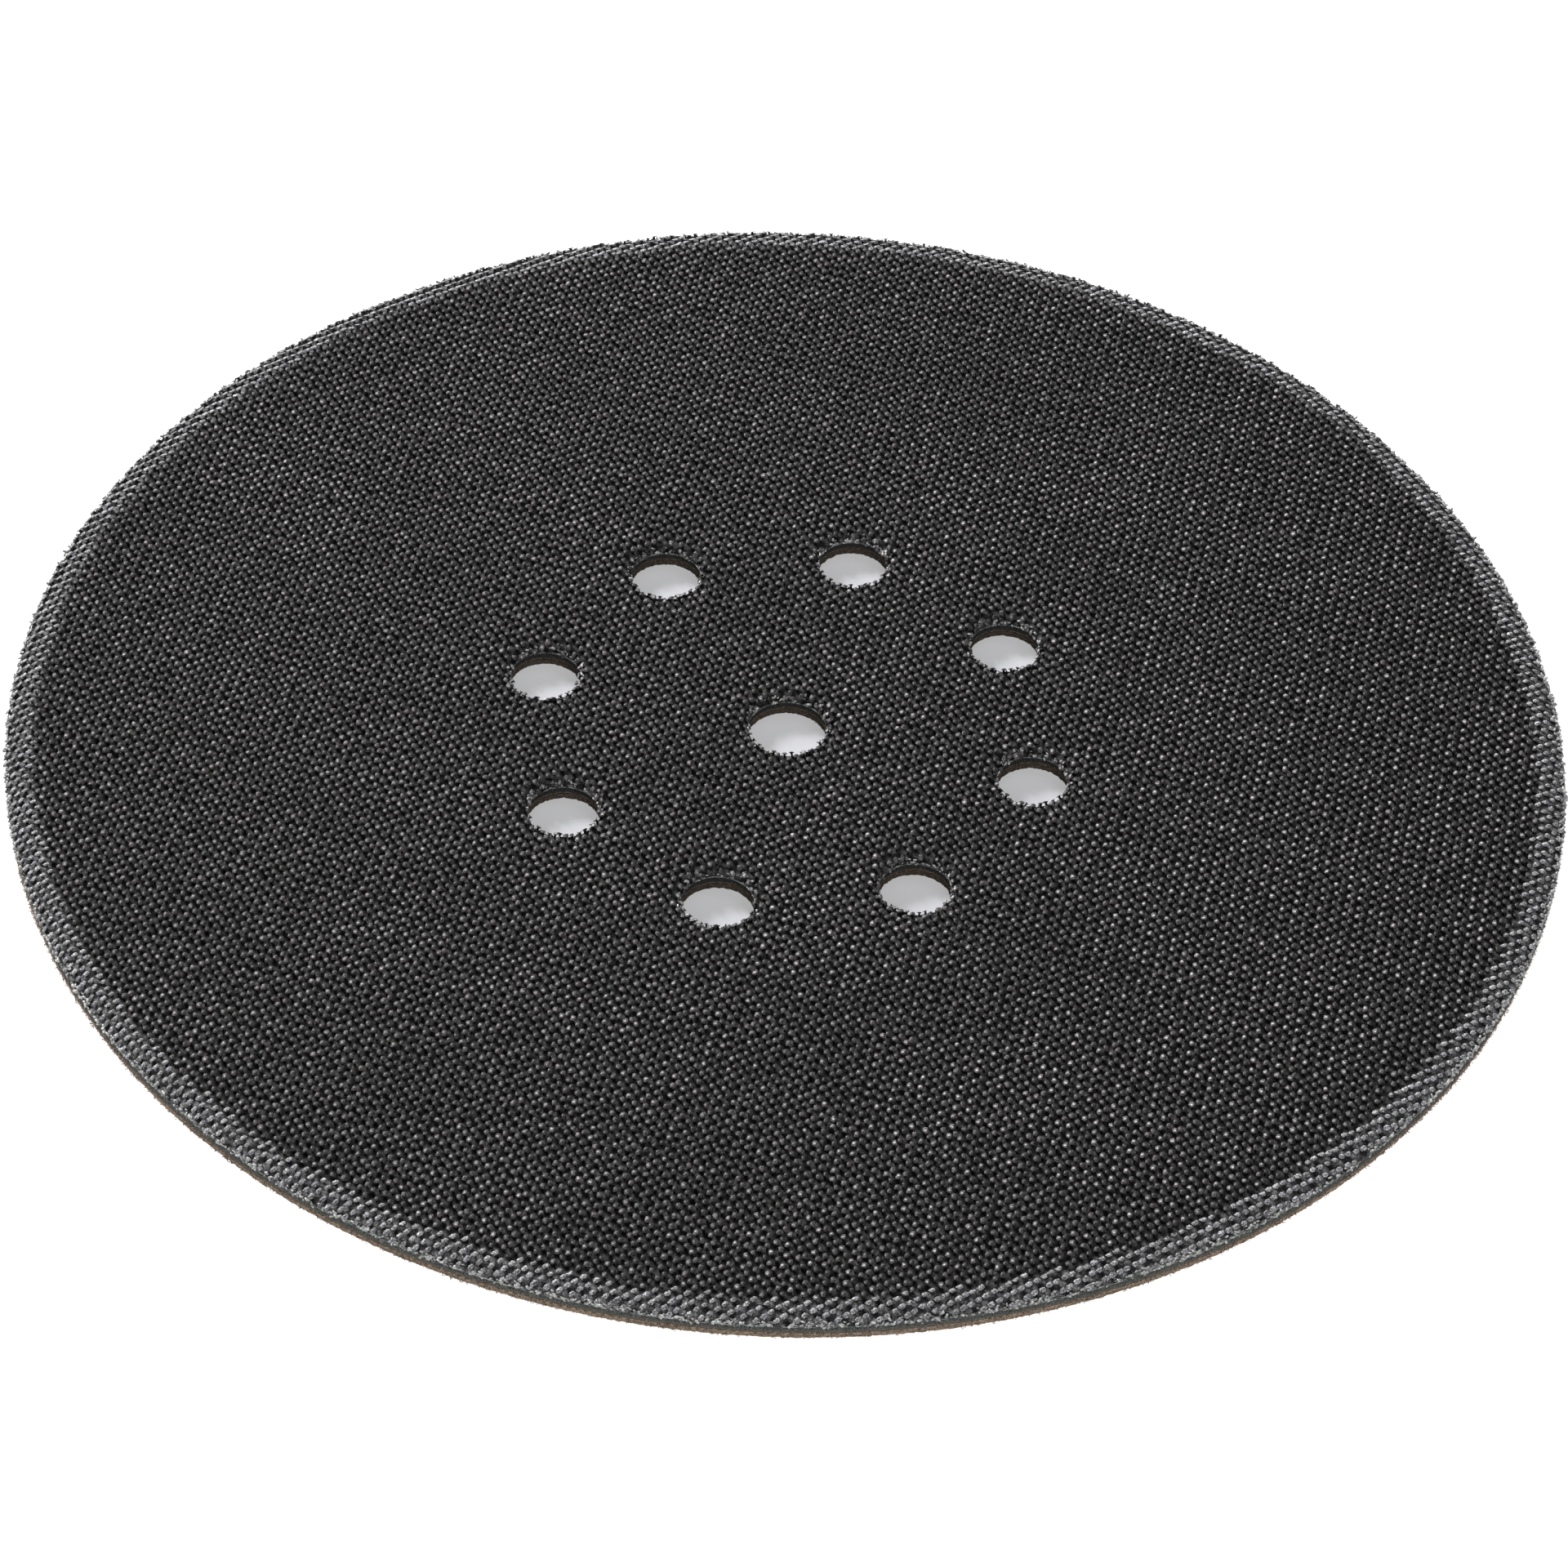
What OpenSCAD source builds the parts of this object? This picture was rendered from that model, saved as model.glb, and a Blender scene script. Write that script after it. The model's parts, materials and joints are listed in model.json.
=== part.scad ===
// Interface pad for a 225 mm long-neck disc sander: a die-cut disc of hook cloth, foam and loop
// cloth, laminated face to face, with a ring of dust holes. The hook face is up, the loop face down.

/* [Disc] */
// Outside diameter of the pad
disc_d = 215; // [150:1:250]
// How far the cut edge leans inward between the loop face and the hook cloth
cut_lean = 0.3; // [0:0.05:1]

/* [Dust holes] */
// Diameter of the centre hole
centre_hole_d = 11; // [6:0.5:20]
// Diameter of each hole in the ring
ring_hole_d = 10; // [6:0.5:14]
// Diameter of the circle that the ring of holes sits on
ring_pcd = 70; // [60:1:110]
// Number of holes in the ring
ring_hole_count = 8; // [4:1:10]

/* [Layer heights] */
// Loop pile that faces the machine's hook plate
loop_pile_h = 0.85; // [0.5:0.05:3]
// Knitted ground that carries the loops
loop_knit_h = 0.25; // [0.15:0.05:0.6]
// Hot-melt film under the foam
lower_film_h = 0.1; // [0.05:0.05:0.3]
// Foam core, where it isn't pressed
foam_h = 1.25; // [1.1:0.05:12]
// Hot-melt film over the foam
upper_film_h = 0.1; // [0.05:0.05:0.3]
// Binder coat that locks the hook filaments into their cloth
binder_h = 0.1; // [0.05:0.05:0.3]
// Woven ground cloth of the hook side
hook_cloth_h = 0.35; // [0.2:0.05:0.8]
// Mushroom-headed hooks, from the cloth to the top of the heads
hook_pile_h = 1; // [0.6:0.05:2]

/* [Rolled rim] */
// Width of the band where the die rolls the upper layers down
rim_roll_w = 4; // [1.5:0.25:8]
// How far the upper layers come down at the cut edge
rim_roll_drop = 0.6; // [0.1:0.05:0.9]
// How much lower the outward leaning hooks stand at the cut edge
hook_lean_drop = 0.3; // [0:0.05:0.5]
// Radius on the lower edge of the loop pile
loop_edge_r = 0.3; // [0.1:0.05:0.45]

/* [Punched lips] */
// Width of the drawn-down lip round each dust hole
lip_w = 2; // [0.5:0.25:3]
// How far the lip comes down at the hole
lip_drop = 0.45; // [0.1:0.05:0.9]

/* [Hidden] */
$fn = 96;

disc_r = disc_d / 2;
roll_start_r = disc_r - rim_roll_w;
rim_steps = 6;
lip_steps = 4;
edge_steps = 3;
// How far a lip's arc is carried on past the level face, so that the two cross cleanly
lip_rise = 0.02;
// Overrun of each punch beyond the faces that it cuts
overrun = 1;

// Rest height of each boundary between two layers, from the loop face up
knit_z = loop_pile_h;
lower_film_z = knit_z + loop_knit_h;
foam_z = lower_film_z + lower_film_h;
upper_film_z = foam_z + foam_h;
binder_z = upper_film_z + upper_film_h;
hook_cloth_z = binder_z + binder_h;
hook_root_z = hook_cloth_z + hook_cloth_h;
hook_tip_z = hook_root_z + hook_pile_h;

// The centre hole, then the ring: [x, y, radius]
dust_holes = concat(
    [[0, 0, centre_hole_d / 2]],
    [for (i = [0 : ring_hole_count - 1])
        let (a = 360 * i / ring_hole_count)
        [ring_pcd / 2 * cos(a), ring_pcd / 2 * sin(a), ring_hole_d / 2]]
);

// A face between two layers: [rest height, radius at the cut edge, drop at the rim, drop at a lip]
function cut_edge_r(z) = disc_r - cut_lean * z / hook_root_z;
function flat_face(z) = [z, cut_edge_r(z), 0, 0];
function rolled_face(z) = [z, cut_edge_r(z), rim_roll_drop, lip_drop];
function hook_tip_face() = [hook_tip_z, disc_r, rim_roll_drop + hook_lean_drop, lip_drop];

// Fall of a circular arc that leaves level ground at x = 0 and has come down by d at x = w
function arc_radius(w, d) = (w * w + d * d) / (2 * d);
function arc_fall(x, w, d) = arc_radius(w, d) - sqrt(pow(arc_radius(w, d), 2) - x * x);

function reversed(points) = [for (i = [len(points) - 1 : -1 : 0]) points[i]];

// Outline of a face from the start of the roll to the cut edge
function rim_line(face) = face[2] == 0
    ? [[face[1], face[0]]]
    : [for (i = [0 : rim_steps])
        let (x = (face[1] - roll_start_r) * i / rim_steps)
        [roll_start_r + x, face[0] - arc_fall(x, rim_roll_w, face[2])]];

// Outline of a face from just outside the start of a lip, where it has risen by rise past the
// face's own level, down to the wall of the hole
function lip_line(face, hole_r, rise) =
    let (step = lip_w / lip_steps)
    let (run = step * rise / arc_fall(step, lip_w, face[3]))
    concat(
        [[hole_r + lip_w + run, face[0] + rise]],
        [for (i = [1 : lip_steps])
            [hole_r + lip_w - step * i, face[0] - arc_fall(step * i, lip_w, face[3])]]
    );

module at_dust_holes() {
    for (hole = dust_holes) {
        translate([hole[0], hole[1], 0]) {
            $hole_r = hole[2];
            children();
        }
    }
}

module punch() {
    at_dust_holes() {
        translate([0, 0, -overrun]) {
            cylinder(r = $hole_r, h = hook_tip_z + 2 * overrun);
        }
    }
}

// What hangs below a layer's level lower face round each hole
module lip_undersides(lower, upper) {
    rise = min(lip_rise, (upper[0] - lower[0]) / 2);
    at_dust_holes() {
        rotate_extrude() {
            polygon(concat(
                [[0, lower[0] + rise]],
                lip_line(lower, $hole_r, rise),
                [[0, lower[0] - lower[3]]]
            ));
        }
    }
}

// What the die takes from a layer's level upper face round each hole
module lip_dishes(upper) {
    at_dust_holes() {
        rotate_extrude() {
            polygon(concat(
                [[0, upper[0] + overrun], [$hole_r + lip_w + overrun, upper[0] + overrun]],
                lip_line(upper, $hole_r, lip_rise),
                [[0, upper[0] - upper[3]]]
            ));
        }
    }
}

// A layer between two faces, rolled down at the rim and dipped round the holes where they are
module layer(lower, upper) {
    difference() {
        union() {
            rotate_extrude() {
                polygon(concat([[0, lower[0]]], rim_line(lower), reversed(rim_line(upper)), [[0, upper[0]]]));
            }
            if (lower[3] > 0) lip_undersides(lower, upper);
        }
        if (upper[3] > 0) lip_dishes(upper);
        punch();
    }
}

module loop_pile() {
    color([0.34, 0.25, 0.19]) {
        difference() {
            rotate_extrude() {
                polygon(concat(
                    [[0, 0]],
                    [for (i = [0 : edge_steps])
                        let (a = 90 * i / edge_steps)
                        [disc_r - loop_edge_r * (1 - sin(a)), loop_edge_r * (1 - cos(a))]],
                    [[cut_edge_r(knit_z), knit_z], [0, knit_z]]
                ));
            }
            punch();
        }
    }
}

module loop_ground_knit() {
    color([0.27, 0.2, 0.16]) {
        layer(flat_face(knit_z), flat_face(lower_film_z));
    }
}

module lower_adhesive_film() {
    color([0.3, 0.29, 0.27]) {
        layer(flat_face(lower_film_z), flat_face(foam_z));
    }
}

module foam_core() {
    color([0.2, 0.22, 0.21]) {
        layer(flat_face(foam_z), rolled_face(upper_film_z));
    }
}

module upper_adhesive_film() {
    color([0.42, 0.44, 0.43]) {
        layer(rolled_face(upper_film_z), rolled_face(binder_z));
    }
}

module hook_binder_coat() {
    color([0.72, 0.76, 0.75]) {
        layer(rolled_face(binder_z), rolled_face(hook_cloth_z));
    }
}

module hook_ground_cloth() {
    color([0.32, 0.34, 0.36]) {
        layer(rolled_face(hook_cloth_z), rolled_face(hook_root_z));
    }
}

module hook_pile() {
    color([0.2, 0.2, 0.21]) {
        layer(rolled_face(hook_root_z), hook_tip_face());
    }
}

loop_pile();
loop_ground_knit();
lower_adhesive_film();
foam_core();
upper_adhesive_film();
hook_binder_coat();
hook_ground_cloth();
hook_pile();
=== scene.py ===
import json
import math
import random
from itertools import product

import bmesh
import bpy
import numpy as np
from mathutils import Euler, Matrix, Vector, noise
from mathutils.bvhtree import BVHTree


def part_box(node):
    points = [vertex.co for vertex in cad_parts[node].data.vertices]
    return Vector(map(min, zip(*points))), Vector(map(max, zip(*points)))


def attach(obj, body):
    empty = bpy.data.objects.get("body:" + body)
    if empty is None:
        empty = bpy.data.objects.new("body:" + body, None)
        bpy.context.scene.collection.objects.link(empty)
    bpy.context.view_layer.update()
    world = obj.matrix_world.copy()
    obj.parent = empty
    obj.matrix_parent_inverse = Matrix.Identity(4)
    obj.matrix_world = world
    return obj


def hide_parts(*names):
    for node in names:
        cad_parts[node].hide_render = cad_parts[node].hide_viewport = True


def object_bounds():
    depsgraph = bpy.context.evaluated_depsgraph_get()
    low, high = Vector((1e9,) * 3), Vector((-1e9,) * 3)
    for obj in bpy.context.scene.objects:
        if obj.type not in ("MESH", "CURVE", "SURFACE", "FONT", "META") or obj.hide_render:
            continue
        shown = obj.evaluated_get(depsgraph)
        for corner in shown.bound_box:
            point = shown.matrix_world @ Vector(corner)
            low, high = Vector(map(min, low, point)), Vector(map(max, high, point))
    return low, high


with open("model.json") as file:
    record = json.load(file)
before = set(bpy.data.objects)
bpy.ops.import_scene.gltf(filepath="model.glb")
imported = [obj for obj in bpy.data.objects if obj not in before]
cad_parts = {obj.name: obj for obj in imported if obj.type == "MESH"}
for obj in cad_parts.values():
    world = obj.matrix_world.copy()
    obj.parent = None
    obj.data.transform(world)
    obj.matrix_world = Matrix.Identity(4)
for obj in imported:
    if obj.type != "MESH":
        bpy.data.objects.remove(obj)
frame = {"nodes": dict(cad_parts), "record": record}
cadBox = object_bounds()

mm = 0.001
scene = bpy.context.scene
mounts = {m["name"]: m for m in frame["record"]["mounts"]}

# the pad's own sizes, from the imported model
padRadius = cadBox[1].x
ringMount = mounts["dust_hole_ring"]["dims"]
ringRadius = ringMount["pcd_mm"] * mm / 2
dustHoles = [(0.0, 0.0, mounts["centre_hole"]["dims"]["r_mm"] * mm)]
for holeIndex in range(ringMount["count"]):
    holeAngle = 2 * math.pi * holeIndex / ringMount["count"]
    dustHoles.append((ringRadius * math.cos(holeAngle), ringRadius * math.sin(holeAngle),
                      ringMount["hole_r_mm"] * mm))
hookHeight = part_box("hook_pile")[1].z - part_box("hook_ground_cloth")[1].z
edgeZone = 0.65 * mm    # every layer's cut edge lies this near the pad's own radius
farAway = 0.1           # metres over or under the pad, where a search for a layer's face starts


def layerShape(node):
    # a CAD layer's surfaces, for asking heights of, and the radii of its cut edge above and below
    data = frame["nodes"][node].data
    corners = [v.co.copy() for v in data.vertices]
    rim = [c for c in corners if math.hypot(c.x, c.y) > padRadius - edgeZone]
    high = max(rim, key=lambda c: c.z)
    low = min(rim, key=lambda c: c.z)
    return {
        "tree": BVHTree.FromPolygons(corners, [tuple(p.vertices) for p in data.polygons]),
        "topEdge": math.hypot(high.x, high.y),
        "bottomEdge": math.hypot(low.x, low.y),
    }


def faceAt(layer, x, y, above=True):
    # place and normal of a layer's upper or lower face
    start, way = (farAway, -1) if above else (-farAway, 1)
    place, normal, _, _ = layer["tree"].ray_cast(Vector((x, y, start)), Vector((0, 0, way)))
    return place, normal


def holeGap(x, y):
    # distance from the nearest hole wall, negative inside a hole
    return min(math.hypot(x - hx, y - hy) - hr for hx, hy, hr in dustHoles)


def holeWay(x, y):
    # direction to the middle of the nearest hole
    hx, hy, _ = min(dustHoles, key=lambda h: math.hypot(x - h[0], y - h[1]) - h[2])
    return Vector((hx - x, hy - y, 0)).normalized()


def clamp(x):
    return min(max(x, 0.0), 1.0)


def smoothStep(low, high, x):
    t = clamp((x - low) / (high - low))
    return t * t * (3 - 2 * t)


def flatWay(degrees):
    # a level direction, turned this far from +X
    return Vector((math.cos(math.radians(degrees)), math.sin(math.radians(degrees)), 0))


cameraSet = {
    "azimuth": 13.744,      # degrees round the pad from straight along +Y
    "elevation": 44.285,
    "roll": 2.527,
    "distance": 0.80638,
    "lens": 133.61,
    "sensor": 36.0,
    "clip": (0.05, 20.0),   # metres
    "aimSide": 0.0289,      # degrees that the pad's centre lies right of the view's axis
    "aimUp": 0.4236,        # and above it
}


def makeCamera(s):
    # stands the camera, and gives back its level, upright and backward directions without its roll
    a, e, roll = (math.radians(s[k]) for k in ("azimuth", "elevation", "roll"))
    back = Vector((math.sin(a) * math.cos(e), -math.cos(a) * math.cos(e), math.sin(e)))
    level = Vector((math.cos(a), math.sin(a), 0))
    upright = back.cross(level)
    right = level * math.cos(roll) + upright * math.sin(roll)
    up = upright * math.cos(roll) - level * math.sin(roll)
    basis = Matrix((right, up, back)).transposed()
    centreRay = Vector((math.tan(math.radians(s["aimSide"])), math.tan(math.radians(s["aimUp"])), -1))
    turn = Vector((0, 0, -1)).rotation_difference(centreRay).to_matrix()
    lensData = bpy.data.cameras.new("camera")
    lensData.lens, lensData.sensor_width = s["lens"], s["sensor"]
    lensData.clip_start, lensData.clip_end = s["clip"]
    camera = bpy.data.objects.new("camera", lensData)
    scene.collection.objects.link(camera)
    camera.matrix_world = Matrix.Translation(back * s["distance"]) @ (basis @ turn.transposed()).to_4x4()
    scene.camera = camera
    return level, upright, back


viewRight, viewUp, viewBack = makeCamera(cameraSet)
print("camera set")

lampSet = {
    # name: direction seen from the camera (right, up, towards), distance, size, watts, colour
    "keyBox": ((-0.60, 1.0, -0.20), 1.20, 0.24, 20.5, (1.0, 0.985, 0.97)),
    "topBox": ((0.30, 1.0, 0.40), 1.30, 0.60, 1.5, (1.0, 0.985, 0.98)),
    "frontFill": ((0.15, -0.35, 1.0), 1.40, 0.90, 6.0, (1.0, 0.985, 0.97)),
}


def makeLamps():
    for name, (way, distance, size, watts, colour) in lampSet.items():
        lamp = bpy.data.lights.new(name, "AREA")
        lamp.shape, lamp.size, lamp.energy, lamp.color = "DISK", size, watts, colour
        holder = bpy.data.objects.new(name, lamp)
        scene.collection.objects.link(holder)
        direction = (viewRight * way[0] + viewUp * way[1] + viewBack * way[2]).normalized()
        holder.location = direction * distance
        holder.rotation_euler = (-direction).to_track_quat("-Z", "Y").to_euler()


def addNode(tree, kind, **values):
    # a node with its settings and its unlinked inputs given by name
    node = tree.nodes.new(kind)
    for key, value in values.items():
        if hasattr(node, key):
            setattr(node, key, value)
        else:
            node.inputs[key].default_value = value
    return node


def addMath(tree, operation, first, second):
    # a Math node whose inputs are numbers or sockets
    node = addNode(tree, "ShaderNodeMath", operation=operation)
    for socket, value in zip(node.inputs, (first, second)):
        if isinstance(value, (int, float)):
            socket.default_value = value
        else:
            tree.links.new(value, socket)
    return node.outputs[0]


def addRange(tree, value, span, onto=(0.0, 1.0)):
    # carries a value from one span of numbers onto another, held at the ends
    node = tree.nodes.new("ShaderNodeMapRange")
    for key, number in zip(("From Min", "From Max", "To Min", "To Max"), (*span, *onto)):
        node.inputs[key].default_value = number
    tree.links.new(value, node.inputs["Value"])
    return node.outputs[0]


def shownTo(tree, paths):
    # 1 for the named kinds of ray and 0 for the rest
    path = tree.nodes.new("ShaderNodeLightPath")
    total = path.outputs[paths[0]]
    for name in paths[1:]:
        total = addMath(tree, "MAXIMUM", total, path.outputs[name])
    return total


backdropRays = ["Is Camera Ray", "Is Glossy Ray", "Is Transmission Ray"]
groundSet = {
    "worldLight": 0.12,
    "floorReach": 3.0,      # metres from its middle to each side
    "floorDrop": 0.02 * mm,     # so that it and the pad's lowest faces don't flicker
    "floorColour": (0.88, 0.88, 0.885, 1),
    "paintedShadeColour": (0.42, 0.43, 0.48, 1),   # painted shade: the floor under the pad is painted darker and bluish, for the pad's shadow seen through its holes
    "floorLift": 0.90,      # added for the camera only, so that open floor reads white
    "paintedShadeLift": 0.37,     # and less of it under the pad, as painted shade
    "shadeFade": (0.90, 0.96),      # shares of the pad's radius where the one gives way to the other
}


def makeWorld(s):
    world = bpy.data.worlds.new("studio")
    scene.world = world
    world.use_nodes = True
    tree = world.node_tree
    tree.nodes.clear()
    out = tree.nodes.new("ShaderNodeOutputWorld")
    light = addNode(tree, "ShaderNodeBackground", Strength=s["worldLight"])
    seen = addNode(tree, "ShaderNodeBackground", Strength=1.0)
    mix = tree.nodes.new("ShaderNodeMixShader")
    tree.links.new(shownTo(tree, backdropRays), mix.inputs[0])
    tree.links.new(light.outputs[0], mix.inputs[1])
    tree.links.new(seen.outputs[0], mix.inputs[2])
    tree.links.new(mix.outputs[0], out.inputs["Surface"])


def makeFloor(s):
    bm = bmesh.new()
    bmesh.ops.create_grid(bm, x_segments=1, y_segments=1, size=s["floorReach"])
    bmesh.ops.translate(bm, verts=bm.verts, vec=(0, 0, -s["floorDrop"]))
    data = bpy.data.meshes.new("floor")
    bm.to_mesh(data)
    bm.free()
    floor = bpy.data.objects.new("floor", data)
    scene.collection.objects.link(floor)
    paint = bpy.data.materials.new("paleFloor")
    paint.use_nodes = True
    tree = paint.node_tree
    tree.nodes.clear()
    out = tree.nodes.new("ShaderNodeOutputMaterial")
    place = tree.nodes.new("ShaderNodeTexCoord")
    radius = addNode(tree, "ShaderNodeVectorMath", operation="LENGTH")
    tree.links.new(place.outputs["Object"], radius.inputs[0])
    # painted shade: under the pad the floor takes the darker colour and the smaller lift
    fade = [padRadius * share for share in s["shadeFade"]]
    outside = addRange(tree, radius.outputs["Value"], fade)
    tone = addNode(tree, "ShaderNodeMix", data_type="RGBA")
    tone.inputs[6].default_value = s["paintedShadeColour"]
    tone.inputs[7].default_value = s["floorColour"]
    tree.links.new(outside, tone.inputs[0])
    matt = tree.nodes.new("ShaderNodeBsdfDiffuse")
    tree.links.new(tone.outputs[2], matt.inputs["Color"])
    lift = tree.nodes.new("ShaderNodeEmission")
    strength = addMath(tree, "MULTIPLY", outside, s["floorLift"] - s["paintedShadeLift"])
    strength = addMath(tree, "ADD", strength, s["paintedShadeLift"])
    strength = addMath(tree, "MULTIPLY", strength, shownTo(tree, backdropRays))
    tree.links.new(strength, lift.inputs["Strength"])
    both = tree.nodes.new("ShaderNodeAddShader")
    tree.links.new(matt.outputs[0], both.inputs[0])
    tree.links.new(lift.outputs[0], both.inputs[1])
    tree.links.new(both.outputs[0], out.inputs["Surface"])
    data.materials.append(paint)


makeLamps()
makeWorld(groundSet)
makeFloor(groundSet)
scene.view_settings.view_transform = "Standard"
print("lamps and ground set")


def grey(value):
    return value, value, value


def newMaterial(name, roughness=0.8, specular=0.5, sheen=0.0):
    paint = bpy.data.materials.new(name)
    paint.use_nodes = True
    shader = paint.node_tree.nodes["Principled BSDF"]
    shader.inputs["Roughness"].default_value = roughness
    shader.inputs["Specular IOR Level"].default_value = specular
    shader.inputs["Sheen Weight"].default_value = sheen
    return paint, paint.node_tree, shader


def colourRamp(tree, value, stops):
    ramp = tree.nodes.new("ShaderNodeValToRGB")
    elements = ramp.color_ramp.elements
    while len(elements) < len(stops):
        elements.new(0.5)
    for element, (place, colour) in zip(elements, stops):
        element.position, element.color = place, (*colour, 1)
    tree.links.new(value, ramp.inputs[0])
    return ramp.outputs[0]


def mixColours(tree, kind, share, first, second):
    mix = addNode(tree, "ShaderNodeMix", data_type="RGBA", blend_type=kind)
    for socket, value in zip((mix.inputs[0], mix.inputs[6], mix.inputs[7]), (share, first, second)):
        if isinstance(value, (int, float, tuple)):
            socket.default_value = value
        else:
            tree.links.new(value, socket)
    return mix.outputs[2]


def newGroup(name, inputs, outputs):
    # a shader node group with named values in and named masks out
    group = bpy.data.node_groups.new(name, "ShaderNodeTree")
    for label, kind in inputs:
        group.interface.new_socket(name=label, in_out="INPUT", socket_type="NodeSocket" + kind)
    for label in outputs:
        group.interface.new_socket(name=label, in_out="OUTPUT", socket_type="NodeSocketFloat")
    return group, group.nodes.new("NodeGroupInput"), group.nodes.new("NodeGroupOutput")


grainSet = {
    "detail": 3.0,
    "roughness": 0.7,
    "spread": (0.30, 0.70),     # the part of the noise's range that is stretched to 0 to 1
    "cloudDetail": 2.0,
}


def makeGrainGroup(s):
    # fine fibres or cells, and the slow clouds of a dye lot, both from 0 to 1
    sockets = [("Grains per mm", "Float"), ("Cloud size", "Float")]
    group, start, end = newGroup("fibreGrain", sockets, ["Grain", "Cloud"])
    link = group.links.new
    place = group.nodes.new("ShaderNodeTexCoord")
    scale = addMath(group, "MULTIPLY", start.outputs[0], 1 / mm)
    grain = addNode(group, "ShaderNodeTexNoise", Detail=s["detail"], Roughness=s["roughness"])
    link(place.outputs["Object"], grain.inputs["Vector"])
    link(scale, grain.inputs["Scale"])
    link(addRange(group, grain.outputs["Fac"], s["spread"]), end.inputs["Grain"])
    cloud = addNode(group, "ShaderNodeTexNoise", Detail=s["cloudDetail"])
    link(place.outputs["Object"], cloud.inputs["Vector"])
    link(addMath(group, "DIVIDE", 1 / mm, start.outputs[1]), cloud.inputs["Scale"])
    link(cloud.outputs["Fac"], end.inputs["Cloud"])
    return group


def makeWeaveGroup():
    # a plain weave: threads crossing at two pitches, with its relief and the gaps between the threads
    sockets = [("Place", "Vector"), ("Warp pitch", "Float"), ("Weft pitch", "Float")]
    group, start, end = newGroup("plainWeave", sockets, ["Relief", "Gap"])
    link = group.links.new
    split = group.nodes.new("ShaderNodeSeparateXYZ")
    link(start.outputs["Place"], split.inputs[0])
    turns = []
    for axis, pitch in ((0, "Warp pitch"), (1, "Weft pitch")):
        along = addMath(group, "DIVIDE", split.outputs[axis], start.outputs[pitch])
        turns.append(addMath(group, "SINE", addMath(group, "MULTIPLY", along, math.pi), 0.0))
    over = addMath(group, "MULTIPLY", turns[0], turns[1])
    link(addMath(group, "ADD", addMath(group, "MULTIPLY", over, 0.5), 0.5), end.inputs["Relief"])
    warp = addMath(group, "ABSOLUTE", turns[0], 0.0)
    weft = addMath(group, "ABSOLUTE", turns[1], 0.0)
    link(addMath(group, "SUBTRACT", 1.0, addMath(group, "MAXIMUM", warp, weft)), end.inputs["Gap"])
    return group


grainGroup = makeGrainGroup(grainSet)
weaveGroup = makeWeaveGroup()


def placeGrain(tree, grainsPerMm, cloudSize):
    # the grain group, set for one material: cloudSize is in mm
    grain = addNode(tree, "ShaderNodeGroup", node_tree=grainGroup)
    grain.inputs["Grains per mm"].default_value = grainsPerMm
    grain.inputs["Cloud size"].default_value = cloudSize
    return grain.outputs["Grain"], grain.outputs["Cloud"]


def placeWeave(tree, turn, warpPitch, weftPitch):
    # the weave group, its warp turned this many degrees from +X
    place = tree.nodes.new("ShaderNodeTexCoord")
    mapping = addNode(tree, "ShaderNodeMapping")
    mapping.inputs["Rotation"].default_value = (0, 0, math.radians(-turn))
    tree.links.new(place.outputs["Object"], mapping.inputs["Vector"])
    weave = addNode(tree, "ShaderNodeGroup", node_tree=weaveGroup)
    weave.inputs["Warp pitch"].default_value = warpPitch
    weave.inputs["Weft pitch"].default_value = weftPitch
    tree.links.new(mapping.outputs[0], weave.inputs["Place"])
    return weave.outputs["Relief"], weave.outputs["Gap"]


def placeRadius(tree, start, end):
    # 0 inside the first radius from the pad's middle and 1 outside the second
    place = tree.nodes.new("ShaderNodeTexCoord")
    flat = addNode(tree, "ShaderNodeVectorMath", operation="MULTIPLY")
    flat.inputs[1].default_value = (1, 1, 0)
    tree.links.new(place.outputs["Object"], flat.inputs[0])
    radius = addNode(tree, "ShaderNodeVectorMath", operation="LENGTH")
    tree.links.new(flat.outputs[0], radius.inputs[0])
    return addRange(tree, radius.outputs["Value"], (start, end))


def paintHoleWallShade(tree, tone, share):
    # painted shade: the walls of the holes are painted darker, as the shade inside the holes makes them
    inHole = addNode(tree, "ShaderNodeAttribute", attribute_name="inHole")
    return mixColours(tree, "MULTIPLY", inHole.outputs["Fac"], tone, (*grey(share), 1))


def addBump(tree, shader, height, distance, strength=1.0):
    bump = addNode(tree, "ShaderNodeBump", Strength=strength, Distance=distance)
    tree.links.new(height, bump.inputs["Height"])
    tree.links.new(bump.outputs[0], shader.inputs["Normal"])


strandGrain = (5.0, 12.0)       # grains to the mm, and the size of the clouds in mm
paintedGlintSet = {
    "rise": (0.82, 0.93),       # how far up a strand its painted glint begins and is full
    "colour": (0.92, 0.91, 0.90, 1),
}


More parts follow.
